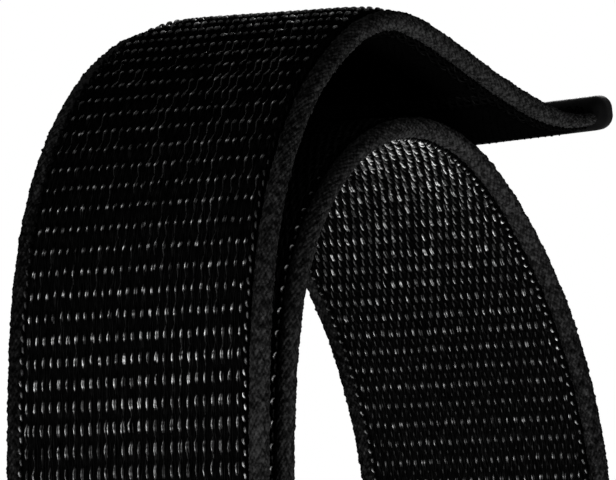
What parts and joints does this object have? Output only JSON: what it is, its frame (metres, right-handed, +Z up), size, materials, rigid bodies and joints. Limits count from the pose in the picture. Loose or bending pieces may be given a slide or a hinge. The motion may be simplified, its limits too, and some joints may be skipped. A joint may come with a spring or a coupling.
{
  "type": "nylon watch strap",
  "caption": "Woven hook-and-loop watch strap with braided edges, peeled-open flap and sliding sprung-latch lugs.",
  "frame": {"origin": "on the surface that the two lugs stand on, under the middle of the loop's depth and width", "axes": "+Z up from the lugs to the crest, X along the loop's depth with the flap's tab towards +X, Y across the strap's width"},
  "size_m": [0.0618, 0.0276, 0.0668],
  "materials": {
    "woven_nylon": "woven black nylon with a light sheen on the floats",
    "edge_braid": "matt braided black nylon",
    "hook_field": "matt black hook field",
    "fused_tip": "smooth fused nylon, near black",
    "lug_metal": "dark satin coating",
    "steel": "plain steel",
    "pad_rubber": "matt black elastomer"
  },
  "bodies": {
    "strap": {"inner_run_web": "woven_nylon", "inner_run_edge_near": "edge_braid", "inner_run_edge_far": "edge_braid", "outer_run_web": "woven_nylon", "outer_run_edge_near": "edge_braid", "outer_run_edge_far": "edge_braid"},
    "flap_root": {"flap_root_web": "woven_nylon", "flap_root_edge_near": "edge_braid", "flap_root_edge_far": "edge_braid"},
    "flap_middle": {"flap_middle_web": "woven_nylon", "flap_middle_edge_near": "edge_braid", "flap_middle_edge_far": "edge_braid", "hook_patch_middle": "hook_field"},
    "flap_tab": {"flap_tab_web": "woven_nylon", "flap_tab_edge_near": "edge_braid", "flap_tab_edge_far": "edge_braid", "hook_patch_tab": "hook_field", "tab_tip": "fused_tip"},
    "slot_lug": {"slot_lug_frame": "lug_metal", "slot_lug_bar": "steel", "slot_lug_spring": "steel", "slot_lug_keeper": "steel", "slot_lug_pad_near": "pad_rubber", "slot_lug_pad_far": "pad_rubber"},
    "slot_latch": {"slot_lug_latch": "steel"},
    "fixed_lug": {"fixed_lug_frame": "lug_metal", "fixed_lug_bar": "steel", "fixed_lug_spring": "steel", "fixed_lug_keeper": "steel", "fixed_lug_pad_near": "pad_rubber", "fixed_lug_pad_far": "pad_rubber"},
    "fixed_latch": {"fixed_lug_latch": "steel"}
  },
  "joints": [
    {"name": "flap_root_bend", "type": "hinge", "parent": "strap", "child": "flap_root", "pos_m": [-0.02555, 0, 0.05336], "axis": [0, -1, 0], "range_deg": [-7, 60], "stiffness_Nm_per_rad": 0.03},
    {"name": "flap_crest_bend", "type": "hinge", "parent": "flap_root", "child": "flap_middle", "pos_m": [-0.00812, 0, 0.06575], "axis": [0, -1, 0], "range_deg": [-3, 45], "stiffness_Nm_per_rad": 0.03},
    {"name": "flap_tab_bend", "type": "hinge", "parent": "flap_middle", "child": "flap_tab", "pos_m": [0.01047, 0, 0.06248], "axis": [0, -1, 0], "range_deg": [-14, 60], "stiffness_Nm_per_rad": 0.03},
    {"name": "slot_lug_swing", "type": "hinge", "parent": "strap", "child": "slot_lug", "pos_m": [-0.0278, 0, 0.003], "axis": [0, 1, 0], "range_deg": [-6, 180]},
    {"name": "slot_latch_press", "type": "slide", "parent": "slot_lug", "child": "slot_latch", "axis": [0, 0, -1], "range_m": [0, 0.0005], "stiffness_N_per_m": 400, "springref_m": -0.0005, "deforming": ["slot_lug_spring"]},
    {"name": "fixed_lug_swing", "type": "hinge", "parent": "strap", "child": "fixed_lug", "pos_m": [0.0278, 0, 0.003], "axis": [0, -1, 0], "range_deg": [-6, 180]},
    {"name": "fixed_latch_press", "type": "slide", "parent": "fixed_lug", "child": "fixed_latch", "axis": [0, 0, -1], "range_m": [0, 0.0005], "stiffness_N_per_m": 400, "springref_m": -0.0005, "deforming": ["fixed_lug_spring"]}
  ]
}
